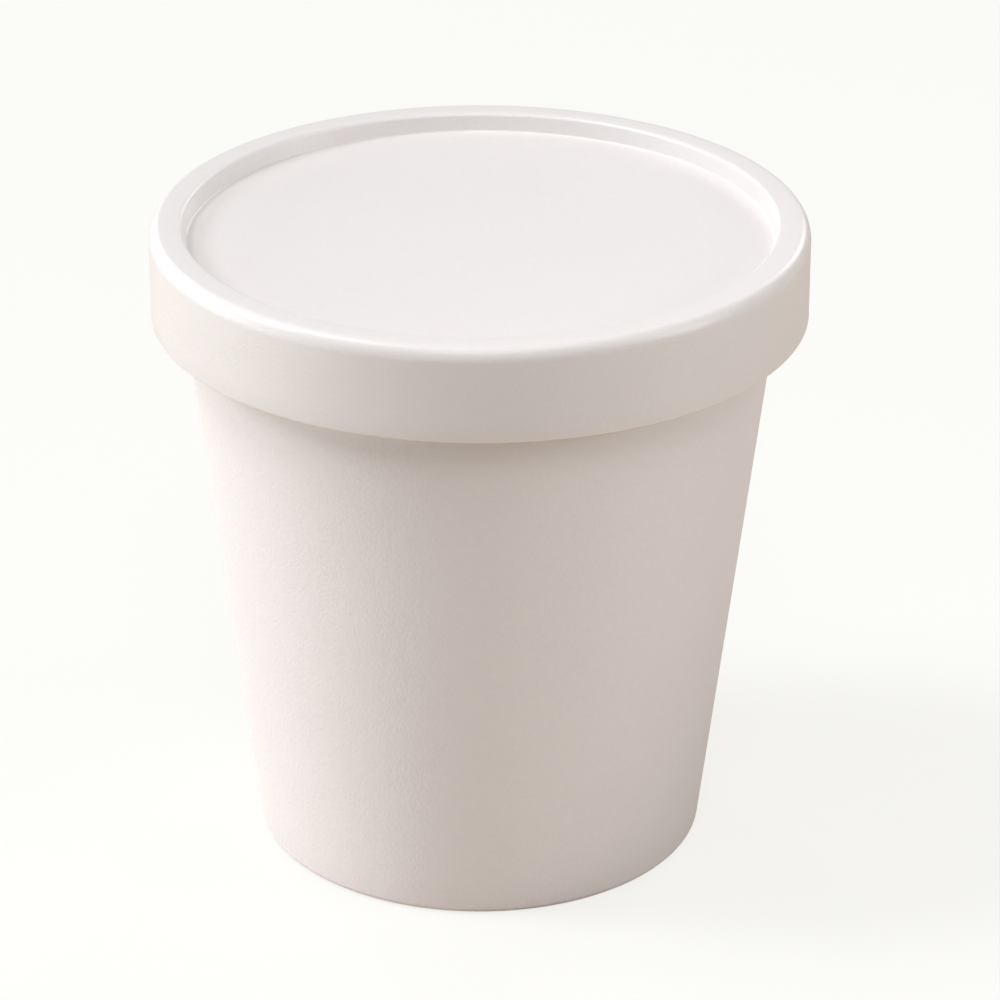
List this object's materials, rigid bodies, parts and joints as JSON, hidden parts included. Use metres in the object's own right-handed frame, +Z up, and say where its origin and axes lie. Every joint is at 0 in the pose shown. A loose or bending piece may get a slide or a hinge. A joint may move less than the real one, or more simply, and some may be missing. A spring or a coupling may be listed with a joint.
{
  "type": "paper food container",
  "caption": "Round tapered white paper tub with a rolled rim and a recessed base, shut with a flat recessed paper lid, for hot or cold food.",
  "frame": {"origin": "centre of the base at floor level, on the turning axis", "axes": "+Z up along the turning axis, from the foot to the lid; -Y is the front and the side seams are at +Y"},
  "size_m": [0.1014, 0.1014, 0.1027],
  "materials": {
    "cup_paper": "matt coated white board, warm",
    "lid_paper": "smooth matt coated white board"
  },
  "bodies": {
    "root": {"cup": "cup_paper", "lid": "lid_paper"}
  },
  "joints": []
}
